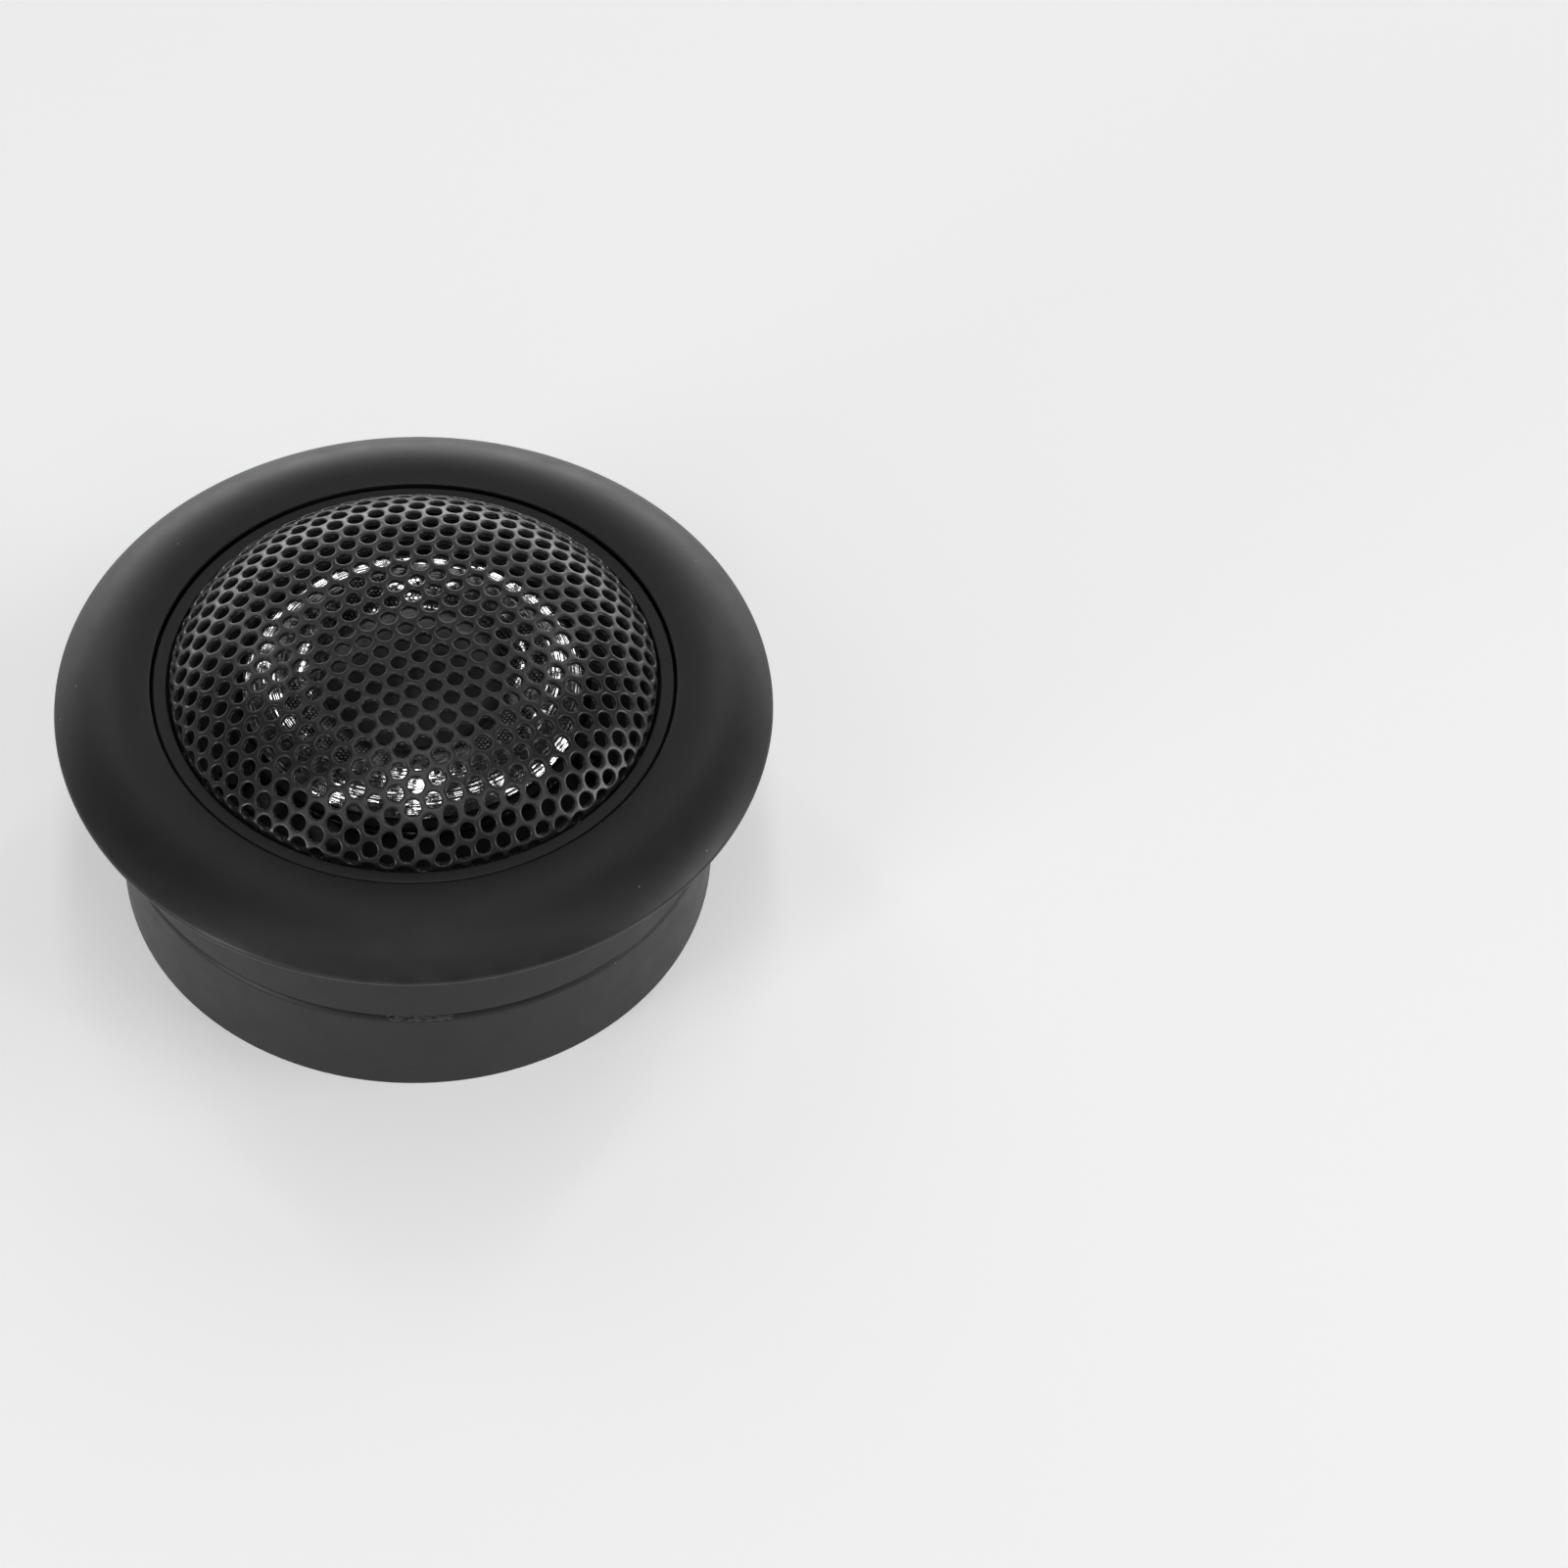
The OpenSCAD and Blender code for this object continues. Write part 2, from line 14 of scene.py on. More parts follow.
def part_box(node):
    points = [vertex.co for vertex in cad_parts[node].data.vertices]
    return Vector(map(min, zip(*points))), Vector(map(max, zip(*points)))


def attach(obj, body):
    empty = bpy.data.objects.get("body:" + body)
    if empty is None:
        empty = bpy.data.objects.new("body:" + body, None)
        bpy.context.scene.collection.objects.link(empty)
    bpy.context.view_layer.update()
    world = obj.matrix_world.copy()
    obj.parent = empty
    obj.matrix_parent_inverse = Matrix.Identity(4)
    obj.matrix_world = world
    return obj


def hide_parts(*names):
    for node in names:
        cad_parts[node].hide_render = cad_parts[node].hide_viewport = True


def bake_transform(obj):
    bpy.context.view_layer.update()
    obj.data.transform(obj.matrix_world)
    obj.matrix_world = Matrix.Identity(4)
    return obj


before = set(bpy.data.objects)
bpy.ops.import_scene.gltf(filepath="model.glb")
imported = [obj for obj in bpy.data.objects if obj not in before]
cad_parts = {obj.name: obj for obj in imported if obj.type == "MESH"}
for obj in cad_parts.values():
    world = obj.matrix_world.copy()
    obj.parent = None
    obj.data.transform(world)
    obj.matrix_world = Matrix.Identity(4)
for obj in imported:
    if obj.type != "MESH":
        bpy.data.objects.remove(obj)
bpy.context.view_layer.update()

MM = 0.001

# ---- Sizes that the frame doesn't give, the same as in the CAD source ----
crown_circle_r = 21.6 * MM        # radius of the circle that the trim ring's top lies on
crown_r = 7.7 * MM                # the trim ring's rounded top, in section
nose_r = 0.4 * MM                 # the trim ring's outer edge, in section
ball_r = 20.75 * MM               # the pod's ball-shaped outside
ball_z = 14.45 * MM
parting_gap = 0.25 * MM
lip_z = 18.4 * MM
opening_r = 18.84 * MM            # the opening in the pod ring
grille_dish = 2.6 * MM
grille_fall = 3.55 * MM
hole_pitch = 1.7 * MM
hole_r = 0.62 * MM
hole_row_angle = math.radians(19.7)
hole_offset = Vector((-0.5, -0.16)) * MM
draw_share = 0.11                 # how much pressing the grille draws its outer holes inwards
draw_r = 21.6 * MM
pod_ring_bore_r = 17.6 * MM
dome_r = 7 * MM
surround_r = 13.6 * MM            # outer radius of the surround's roll
surround_bulge = 1.6 * MM         # how far the roll stands over a straight cone
film_t = 0.15 * MM
seat_r = 14.4 * MM
base_edge_r = 0.7 * MM

# ---- Sizes that only the looks have ----
sheet_t = 0.45 * MM               # the grille's sheet, 0.1 mm thinner than in the CAD source
hole_edge = 0.15 * MM             # rounding of a hole's outer edge
neck_wall = 1.2 * MM
rib_pitch = 0.33 * MM             # the fine ribs pressed into the surround
rib_depth = 0.007 * MM

# ---- Sizes that the frame gives ----
ring_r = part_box("trim_ring")[1].x
ring_top_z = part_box("trim_ring")[1].z
neck_low_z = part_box("trim_ring")[0].z
neck_inner_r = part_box("clamp_ring")[1].x
neck_r = neck_inner_r + neck_wall
pod_top_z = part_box("pod_ring")[1].z
pod_split_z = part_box("pod_ring")[0].z
grille_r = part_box("grille")[1].x
grille_top_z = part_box("grille")[1].z
grille_shelf_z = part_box("grille")[0].z
base_top_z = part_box("base_cup")[1].z
base_top_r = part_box("base_cup")[1].x
dome_rim_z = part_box("dome")[0].z
seat_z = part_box("surround")[0].z
deck_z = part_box("solder_lugs")[0].z

ROUND = 288                       # steps round a turned piece
SECTION_STEP = 0.16 * MM          # length of a step along a turned piece's section


# ---- Mesh helpers ----

def new_piece(name, bm, smooth=True):
    """Makes an object from a bmesh and gives it smooth shading."""
    bmesh.ops.recalc_face_normals(bm, faces=bm.faces)
    mesh = bpy.data.meshes.new(name)
    bm.to_mesh(mesh)
    bm.free()
    piece = bpy.data.objects.new(name, mesh)
    bpy.context.scene.collection.objects.link(piece)
    if smooth:
        mesh.shade_smooth()
    return piece


def arc(centre, radius, start, end):
    """Points on a circle in the section plane, from one angle in degrees to another."""
    turn = math.radians(end - start)
    steps = max(6, math.ceil(abs(turn) * radius / SECTION_STEP))
    angles = [math.radians(start) + turn * i / steps for i in range(steps + 1)]
    return [Vector((centre[0] + radius * math.cos(a), centre[1] + radius * math.sin(a))) for a in angles]


def line(*points):
    """A straight or bent line in the section plane."""
    return [Vector(p) for p in points]


def trimmed(points, length):
    """A line without the last stretch of this length."""
    points = list(points)
    while len(points) > 2 and (points[-1] - points[-2]).length <= length:
        length -= (points[-1] - points[-2]).length
        points.pop()
    run = points[-1] - points[-2]
    points[-1] = points[-1] - run * min(0.9, length / run.length)
    return points


def closed_section(parts, softness):
    """Joins lines that meet end to end into one loop, and rounds the corner after each line by its
    softness."""
    loop = []
    count = len(parts)
    for i, part in enumerate(parts):
        before = softness[i - 1]
        after = softness[i]
        shape = part
        if before:
            shape = trimmed(shape[::-1], before)[::-1]
        if after:
            shape = trimmed(shape, after)
        loop += shape if not loop or before else shape[1:]
        if after:
            corner = part[-1]
            start = shape[-1]
            following = trimmed(parts[(i + 1) % count][::-1], after)[-1]
            for k in range(1, 6):
                t = k / 6
                loop.append(start * (1 - t) ** 2 + corner * 2 * t * (1 - t) + following * t ** 2)
    if (loop[0] - loop[-1]).length < 1e-7:
        loop.pop()
    return loop


def turned(name, section, steps=ROUND):
    """A piece turned about the Z axis from a closed section of (radius, height) points."""
    bm = bmesh.new()
    rings = []
    for i in range(steps):
        angle = 2 * math.pi * i / steps
        east, north = math.cos(angle), math.sin(angle)
        rings.append([bm.verts.new((p.x * east, p.x * north, p.y)) for p in section])
    for i in range(steps):
        near, far = rings[i], rings[(i + 1) % steps]
        for k in range(len(section)):
            m = (k + 1) % len(section)
            bm.faces.new((near[k], near[m], far[m], far[k]))
    return new_piece(name, bm)


# ---- Material helpers ----

class Nodes:
    """Short names for building a material's nodes."""

    def __init__(self, name):
        self.material = bpy.data.materials.new(name)
        self.material.use_nodes = True
        self.tree = self.material.node_tree
        self.shader = self.tree.nodes["Principled BSDF"]
        coordinates = self.tree.nodes.new("ShaderNodeTexCoord")
        self.place = coordinates.outputs["Object"]

    def link(self, source, target):
        self.tree.links.new(source, target)

    def node(self, kind, **settings):
        made = self.tree.nodes.new("ShaderNode" + kind)
        for key, value in settings.items():
            setattr(made, key, value)
        return made

    def noise(self, size, detail=3.0, place=None):
        """Noise whose features are about this size in metres."""
        made = self.node("TexNoise")
        made.inputs["Scale"].default_value = 1 / size
        made.inputs["Detail"].default_value = detail
        self.link(place or self.place, made.inputs["Vector"])
        return made.outputs["Fac"]

    def ranged(self, value, from_low, from_high, to_low, to_high):
        """Maps a value from one range to another, and holds it there."""
        made = self.node("MapRange")
        for key, number in zip(("From Min", "From Max", "To Min", "To Max"),
                               (from_low, from_high, to_low, to_high)):
            made.inputs[key].default_value = number
        self.link(value, made.inputs["Value"])
        return made.outputs["Result"]

    def math(self, operation, first, second=0.0):
        """A sum on one or two values or numbers."""
        made = self.node("Math", operation=operation)
        for socket, value in zip(made.inputs, (first, second)):
            if isinstance(value, (int, float)):
                socket.default_value = value
            else:
                self.link(value, socket)
        return made.outputs[0]

    def mixed(self, factor, first, second):
        """A colour between two colours, which are tuples or sockets."""
        made = self.node("Mix", data_type="RGBA")
        self.link(factor, made.inputs["Factor"])
        for socket, colour in zip((made.inputs[6], made.inputs[7]), (first, second)):
            if isinstance(colour, tuple):
                socket.default_value = (*colour, 1)
            else:
                self.link(colour, socket)
        return made.outputs[2]

    def radius(self):
        """Distance from the Z axis, and the height."""
        split = self.node("SeparateXYZ")
        self.link(self.place, split.inputs[0])
        flat = self.node("CombineXYZ")
        self.link(split.outputs[0], flat.inputs[0])
        self.link(split.outputs[1], flat.inputs[1])
        length = self.node("VectorMath", operation="LENGTH")
        self.link(flat.outputs[0], length.inputs[0])
        return length.outputs["Value"], split.outputs[2]

    def bump(self, height, depth, strength=1.0):
        """Bump whose full height is this depth in metres. Calls stack on each other."""
        made = self.node("Bump")
        made.inputs["Distance"].default_value = depth
        made.inputs["Strength"].default_value = strength
        self.link(height, made.inputs["Height"])
        normal = self.shader.inputs["Normal"]
        if normal.is_linked:
            self.link(normal.links[0].from_socket, made.inputs["Normal"])
        self.link(made.outputs["Normal"], normal)

    def set(self, **values):
        """Sets sockets of the shader by name, with _ for a space."""
        for key, value in values.items():
            socket = self.shader.inputs[key.replace("_", " ")]
            if isinstance(value, bpy.types.NodeSocket):
                self.link(value, socket)
            else:
                socket.default_value = (*value, 1) if isinstance(value, tuple) else value


def grey(level):
    return (level, level, level * 1.02)


def moulded(name, tone, rough, shine=0.35, grain=0.12 * MM, grain_depth=0.006 * MM, dust=0.0, sheen_edge=None):
    """Moulded plastic: a fine spark-eroded grain, slow changes in gloss, specks of dust, and a painted
    highlight:
    a paler, patchy, slightly glossier stretch about an edge given as (radius, height, reach)."""
    m = Nodes(name)
    cloud = m.noise(9 * MM, 4)
    fine = m.noise(grain, 2)
    smear = m.noise(2.5 * MM, 5)
    colour = m.mixed(m.ranged(cloud, 0.3, 0.7, 0, 1), grey(tone * 0.9), grey(tone * 1.12))
    roughness = m.math("ADD", m.ranged(smear, 0.3, 0.7, rough - 0.035, rough + 0.035),
                       m.ranged(fine, 0.3, 0.7, -0.03, 0.03))
    # Painted highlight: a paler, patchy stretch of colour about the given edge stands in for the light
    # that a rounded edge catches; the roughness drops a little there too.
    if sheen_edge:
        r, z = m.radius()
        across = m.math("SUBTRACT", r, sheen_edge[0])
        upward = m.math("SUBTRACT", z, sheen_edge[1])
        away = m.math("SQRT", m.math("ADD", m.math("MULTIPLY", across, across),
                                     m.math("MULTIPLY", upward, upward)))
        near = m.ranged(away, 0, sheen_edge[2], 1, 0)
        painted_sheen = m.math("MULTIPLY", near, m.ranged(smear, 0.42, 0.62, 0, 1))
        colour = m.mixed(painted_sheen, colour, grey(tone * 1.6))
        roughness = m.math("SUBTRACT", roughness, m.math("MULTIPLY", painted_sheen, 0.08))
    if dust:
        cells = m.node("TexVoronoi")
        cells.inputs["Scale"].default_value = 1 / (2.1 * MM)
        m.link(m.place, cells.inputs["Vector"])
        speck = m.ranged(cells.outputs["Distance"], 0.028, 0.045, 1, 0)
        some = m.ranged(m.noise(7 * MM, 1), 0.52, 0.56, 0, 1)
        colour = m.mixed(m.math("MULTIPLY", m.math("MULTIPLY", speck, some), dust), colour, grey(0.3))
    m.set(Base_Color=colour, Roughness=roughness, Specular_IOR_Level=shine)
    m.bump(fine, grain_depth)
    m.bump(cloud, 0.02 * MM, 0.5)
    return m.material


def painted_metal(name, tone, rough):
    """Satin paint over pressed steel: a faint orange peel, and thinner, glossier paint in places."""
    m = Nodes(name)
    peel = m.noise(0.35 * MM, 2)
    fine = m.noise(0.06 * MM, 2)
    cloud = m.noise(4 * MM, 4)
    m.set(Base_Color=m.mixed(m.ranged(cloud, 0.3, 0.7, 0, 1), grey(tone * 0.85), grey(tone * 1.2)),
          Roughness=m.ranged(cloud, 0.3, 0.7, rough - 0.04, rough + 0.05))
    m.bump(peel, 0.012 * MM)
    m.bump(fine, 0.004 * MM)
    return m.material


def metal(name, colour, rough, brushed=0.25 * MM, depth=0.004 * MM):
    """Bare metal with fine marks from tooling and patchy gloss."""
    m = Nodes(name)
    marks = m.noise(brushed, 5)
    cloud = m.noise(3 * MM, 3)
    darker_tone = tuple(c * 0.8 for c in colour)
    m.set(Base_Color=m.mixed(m.ranged(cloud, 0.35, 0.65, 0, 1), colour, darker_tone), Metallic=1.0,
          Roughness=m.ranged(marks, 0.3, 0.7, rough - 0.06, rough + 0.08))
    m.bump(marks, depth)
    return m.material


def honeycomb(m, pitch):
    """Distance from the nearest point of a six-sided pattern, as a share of its pitch."""
    nearest = None
    for shift in (0.0, 0.5):
        moved = m.node("VectorMath", operation="ADD")
        m.link(m.place, moved.inputs[0])
        moved.inputs[1].default_value = (shift * pitch, shift * pitch * math.sqrt(3), 0)
        wrapped = m.node("VectorMath", operation="WRAP")
        m.link(moved.outputs[0], wrapped.inputs[0])
        half = (pitch / 2, pitch * math.sqrt(3) / 2, 1)
        wrapped.inputs[1].default_value = half
        wrapped.inputs[2].default_value = tuple(-x for x in half)
        flat = m.node("VectorMath", operation="MULTIPLY")
        m.link(wrapped.outputs[0], flat.inputs[0])
        flat.inputs[1].default_value = (1 / pitch, 1 / pitch, 0)
        length = m.node("VectorMath", operation="LENGTH")
        m.link(flat.outputs[0], length.inputs[0])
        away = length.outputs["Value"]
        nearest = away if nearest is None else m.math("MINIMUM", nearest, away)
    return nearest


def film(name, cell, inner_r, outer_r):
    """Thin metallised film, bright as a mirror, with the ripple of a formed sheet. Patches between
    two radii carry a painted reflection: dark honeycomb lines in the film's colour."""
    m = Nodes(name)
    ripple = m.noise(1.2 * MM, 2)
    scuff = m.noise(0.2 * MM, 4)
    r, _ = m.radius()
    wander = m.math("ADD", r, m.ranged(m.noise(2.2 * MM, 2), 0.3, 0.7, -0.7 * MM, 0.7 * MM))
    honeycomb_reflection_zone = m.math("MULTIPLY", m.ranged(wander, inner_r, inner_r + 0.2 * MM, 0, 1),
                  m.ranged(wander, outer_r - 0.2 * MM, outer_r, 1, 0))
    honeycomb_reflection_zone = m.math("MULTIPLY", honeycomb_reflection_zone, m.ranged(m.noise(4 * MM, 2), 0.44, 0.5, 0, 1))
    # Painted reflection: dark honeycomb lines in the film's colour stand in for the honeycomb pattern
    # that the film reflects.
    painted_reflection_lines = m.ranged(honeycomb(m, cell), 0.3, 0.42, 0, 1)
    plain = m.mixed(m.ranged(ripple, 0.3, 0.7, 0, 1), grey(0.7), grey(0.85))
    m.set(Base_Color=m.mixed(m.math("MULTIPLY", honeycomb_reflection_zone, painted_reflection_lines), plain, grey(0.03)), Metallic=1.0,
          Roughness=m.ranged(scuff, 0.3, 0.7, 0.08, 0.17))
    m.bump(ripple, 0.045 * MM)
    m.bump(scuff, 0.004 * MM)
    return m.material


def soft(name, tone, size, depth, rough=0.95):
    """Felt, foam or rubber: matt, with an open surface."""
    m = Nodes(name)
    pores = m.node("TexVoronoi")
    pores.inputs["Scale"].default_value = 1 / size
    m.link(m.place, pores.inputs["Vector"])
    fuzz = m.noise(size * 0.6, 4)
    # Painted shade: the colour is darkest at the bottom of each pore, where the bump sinks.
    m.set(Base_Color=m.mixed(pores.outputs["Distance"], grey(tone * 0.6), grey(tone * 1.3)),
          Roughness=m.ranged(fuzz, 0.3, 0.7, rough - 0.08, rough))
    m.bump(pores.outputs["Distance"], depth)
    m.bump(fuzz, depth * 0.5)
    return m.material


def wound(name, colour, pitch, rough):
    """A winding or a sleeve with fine turns, one above another along Z."""
    m = Nodes(name)
    turns = m.node("TexWave", wave_type="BANDS", bands_direction="Z")
    turns.inputs["Scale"].default_value = math.pi / (10 * pitch)
    turns.inputs["Distortion"].default_value = 0.4
    m.link(m.place, turns.inputs["Vector"])
    cloud = m.noise(1.5 * MM, 3)
    darker_tone = tuple(c * 0.55 for c in colour)
    # Painted shade: the colour darkens in the grooves between the turns, where the bump sinks.
    m.set(Base_Color=m.mixed(turns.outputs["Fac"], darker_tone, colour), Metallic=0.8,
          Roughness=m.ranged(cloud, 0.3, 0.7, rough - 0.05, rough + 0.08))
    m.bump(turns.outputs["Fac"], pitch * 0.3)
    return m.material


def coloured_plastic(name, colour, rough, size=0.3 * MM):
    """Plastic or resin of one colour with a faint texture."""
    m = Nodes(name)
    grain = m.noise(size, 4)
    pale = tuple(min(1, c * 1.35) for c in colour)
    m.set(Base_Color=m.mixed(m.ranged(grain, 0.3, 0.7, 0, 1), colour, pale),
          Roughness=m.ranged(grain, 0.3, 0.7, rough - 0.06, rough + 0.06))
    m.bump(grain, 0.01 * MM)
    return m.material


# By slot name, except "torn", which is for the gate mark
MATERIALS = {
    # The ring plastic gets a painted highlight round the trim ring's outer edge.
    "black_abs": moulded("ring_plastic", 0.015, 0.46, dust=0.5,
                         sheen_edge=(ring_r, pod_split_z + 0.5 * MM, 1.5 * MM)),
    "pod_abs": moulded("pod_plastic", 0.016, 0.5),
    "inner_abs": moulded("inner_plastic", 0.006, 0.6, shine=0.2),
    "swivel_pom": moulded("swivel_plastic", 0.03, 0.4),
    "grille_paint": painted_metal("grille_paint_look", 0.02, 0.3),
    "film": film("metallised_film", 0.34 * MM, 6.9 * MM, 10.4 * MM),
    "torn": coloured_plastic("torn_plastic", (0.035, 0.035, 0.036), 0.55, 0.25 * MM),
    "dome_cloth": soft("coated_silk", 0.007, 0.16 * MM, 0.01 * MM, 0.55),
    "black_steel": metal("black_zinc", (0.03, 0.03, 0.032), 0.4),
    "former": metal("former_foil", (0.75, 0.62, 0.3), 0.35),
    "copper": wound("copper_winding", (0.72, 0.36, 0.16), 0.12 * MM, 0.35),
    "steel": metal("bright_steel", (0.62, 0.63, 0.65), 0.32),
    "magnet": metal("plated_magnet", (0.66, 0.66, 0.68), 0.22, 0.8 * MM, 0.002 * MM),
    "felt": soft("grey_felt", 0.09, 0.25 * MM, 0.08 * MM),
    "foam": soft("damping_foam_look", 0.05, 0.5 * MM, 0.2 * MM),
    "pad": soft("foam_tape", 0.045, 0.35 * MM, 0.1 * MM),
    "rubber": soft("grommet_rubber", 0.02, 0.3 * MM, 0.01 * MM, 0.7),
    "can": coloured_plastic("capacitor_sleeve", (0.02, 0.06, 0.25), 0.3),
    "board": coloured_plastic("phenolic_board", (0.16, 0.07, 0.025), 0.5),
    "brass": metal("tinned_brass", (0.78, 0.62, 0.3), 0.3),
    "wire": coloured_plastic("wire_sleeve", (0.02, 0.02, 0.02), 0.4),
}

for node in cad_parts.values():
    for material_slot in node.material_slots:
        material_slot.material = MATERIALS[material_slot.material.name]


def dress(piece, slot, body, *nodes, look=None):
    """Gives a new piece its material in a new slot, found by its slot name or its look, and its body,
    and hides the CAD nodes it stands for. Without a body, the piece is attached to none."""
    piece.data.materials.append(MATERIALS[look or slot])
    if body:
        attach(piece, body)
    if nodes:
        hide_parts(*nodes)
    return piece


# ---- Trim ring ----

def ball_point(radius, z):
    """Point of the section at a height on a ball about the pod's tilt centre."""
    return Vector((math.sqrt(radius ** 2 - (z - ball_z) ** 2), z))


def crossing_angle():
    """Angle on the crown's circle where the pod's ball cuts it, in degrees."""
    cut_r = ball_r + parting_gap
    across = crown_circle_r
    upward = ring_top_z - crown_r - ball_z
    gap = math.hypot(across, upward)
    share = (gap ** 2 + crown_r ** 2 - cut_r ** 2) / (2 * gap * crown_r)
    toward = math.atan2(-upward, -across)
    return math.degrees(toward - math.acos(share)) % 360


def make_trim_ring():
    crown_centre = Vector((crown_circle_r, ring_top_z - crown_r))
    nose_x = ring_r - nose_r
    reach = crown_r - nose_r
    nose_rise = math.sqrt(reach ** 2 - (nose_x - crown_circle_r) ** 2)
    nose_centre = Vector((nose_x, crown_centre.y + nose_rise))
    nose_angle = math.degrees(math.atan2(nose_centre.y - crown_centre.y, nose_centre.x - crown_centre.x))
    flange_z = nose_centre.y - nose_r
    edge_angle = crossing_angle()
    top_edge = arc(crown_centre, crown_r, edge_angle, edge_angle + 1)[0]
    cut_r = ball_r + parting_gap
    lip = ball_point(cut_r, lip_z)
    ball_low = math.degrees(math.atan2(lip.y - ball_z, lip.x))
    ball_high = math.degrees(math.atan2(top_edge.y - ball_z, top_edge.x))
    parts = [
        arc(crown_centre, crown_r, edge_angle, nose_angle),
        arc(nose_centre, nose_r, nose_angle, -90),
        line((nose_centre.x, flange_z), (neck_r, flange_z)),
        line((neck_r, flange_z), (neck_r, neck_low_z)),
        line((neck_r, neck_low_z), (neck_inner_r, neck_low_z)),
        line((neck_inner_r, neck_low_z), (neck_inner_r, lip_z)),
        line((neck_inner_r, lip_z), lip),
        arc((0, ball_z), cut_r, ball_low, ball_high),
    ]
    softness = [0, 0, 0.6 * MM, 0.14 * MM, 0.05 * MM, 0, 0.05 * MM, 0.16 * MM]
    return turned("trim_ring_moulding", closed_section(parts, softness))


dress(make_trim_ring(), "black_abs", "head", "trim_ring")


# ---- Pod ring ----

def make_pod_ring():
    deck_r = math.sqrt(ball_r ** 2 - (pod_split_z - ball_z) ** 2)
    edge = ball_point(ball_r, pod_top_z)
    ball_high = math.degrees(math.atan2(edge.y - ball_z, edge.x))
    ball_low = math.degrees(math.atan2(pod_split_z - ball_z, deck_r))
    parts = [
        arc((0, ball_z), ball_r, ball_low, ball_high),
        line(edge, (opening_r, pod_top_z)),
        line((opening_r, pod_top_z), (opening_r, grille_shelf_z)),
        line((opening_r, grille_shelf_z), (pod_ring_bore_r, grille_shelf_z)),
        line((pod_ring_bore_r, grille_shelf_z), (pod_ring_bore_r, pod_split_z)),
        line((pod_ring_bore_r, pod_split_z), (deck_r, pod_split_z)),
    ]
    softness = [0.13 * MM, 0.12 * MM, 0, 0.05 * MM, 0, 0]
    return turned("pod_ring_moulding", closed_section(parts, softness))


dress(make_pod_ring(), "black_abs", "pod", "pod_ring")


# ---- Grille ----

def drawn_in(r):
    """Pressing the dome draws the outer rows of holes inwards: radius in the dome from the flat one."""
    return r * (1 - draw_share * (r / draw_r) ** 6)


def dome_z(r):
    share = r / opening_r
    return grille_top_z - grille_dish * share ** 2 - grille_fall * share ** 6


def dome_tilt(r):
    """How far the sheet leans at a radius, in radians."""
    share = r / opening_r
    return math.atan((2 * grille_dish * share + 6 * grille_fall * share ** 5) / opening_r)


def flat_rim():
    """Radius in the flat sheet of the circle that becomes the grille's rim."""
    step = 0.005 * MM
    r = grille_r
    while drawn_in(r) < grille_r:
        r += step
    return r


rim_flat_r = flat_rim()
rim_z = dome_z(grille_r)
end_flat_r = rim_flat_r + rim_z - grille_shelf_z


def grille_point(flat, depth):
    """A point of the pressed sheet from its place in the flat sheet, at a depth under its outside.
    Past the rim, the sheet goes straight down to the shelf in the pod ring."""
    spread = min(flat.length, end_flat_r)
    outward = flat.normalized() if spread > 1e-9 else Vector((0, 0))
    r = min(grille_r, drawn_in(spread))
    z = dome_z(r) - max(0, spread - rim_flat_r)
    bend_length = 0.8 * MM
    bend = min(1, max(0, (spread - rim_flat_r) / bend_length + 0.5))
    tilt = dome_tilt(r)
    tilt += (math.pi / 2 - tilt) * bend * bend * (3 - 2 * bend)
    return Vector((outward.x * r, outward.y * r, z)) - depth * Vector(
        (outward.x * math.sin(tilt), outward.y * math.sin(tilt), math.cos(tilt)))


def make_grille():
    """One six-sided cell of sheet round each hole. A cell has no hole where the sheet's edge cuts it."""
    around = 24
    edge = hole_edge
    weld = 0.004 * MM
    # (distance outside the hole, depth) from the outside of the sheet to its inside
    hole_section = [(edge, 0), (edge * 0.5, edge * 0.1), (edge * 0.15, edge * 0.4), (0, edge),
                    (0, sheet_t - 0.06 * MM), (0.05 * MM, sheet_t)]
    row_step = hole_pitch * math.cos(math.pi / 6)
    rows = math.ceil(end_flat_r / row_step) + 2
    turn = Matrix.Rotation(hole_row_angle, 2)
    spokes = []
    for i in range(around):
        angle = 2 * math.pi * i / around
        to_side = (angle + math.pi / 6) % (math.pi / 3) - math.pi / 6
        spokes.append((turn @ Vector((math.cos(angle), math.sin(angle))),
                       hole_pitch / 2 / math.cos(to_side)))
    bm = bmesh.new()
    for row in range(-rows, rows + 1):
        for col in range(-rows, rows + 1):
            flat = Vector(((col + (0.5 if row % 2 else 0)) * hole_pitch, row * row_step))
            centre = turn @ flat + hole_offset
            cell = [centre + spoke * reach for spoke, reach in spokes]
            if min(p.length for p in cell) >= end_flat_r:
                continue
            outside = [bm.verts.new(grille_point(p, 0)) for p in cell]
            inside = [bm.verts.new(grille_point(p, sheet_t)) for p in cell]
            if centre.length + hole_r + edge * 1.2 > end_flat_r:
                bm.faces.new(outside)
                bm.faces.new(inside[::-1])
                continue
            loops = [outside]
            for extra, depth in hole_section:
                loops.append([bm.verts.new(grille_point(centre + spoke * (hole_r + extra), depth))
                              for spoke, _ in spokes])
            loops.append(inside)
            for upper, lower in zip(loops, loops[1:]):
                for i in range(around):
                    k = (i + 1) % around
                    bm.faces.new((upper[i], lower[i], lower[k], upper[k]))
    bmesh.ops.remove_doubles(bm, verts=bm.verts, dist=weld)
    bmesh.ops.dissolve_degenerate(bm, edges=bm.edges, dist=weld / 2)
    bmesh.ops.bridge_loops(bm, edges=[e for e in bm.edges if e.is_boundary])
    return new_piece("grille_mesh", bm)


dress(make_grille(), "grille_paint", "pod", "grille")


# ---- Diaphragm ----

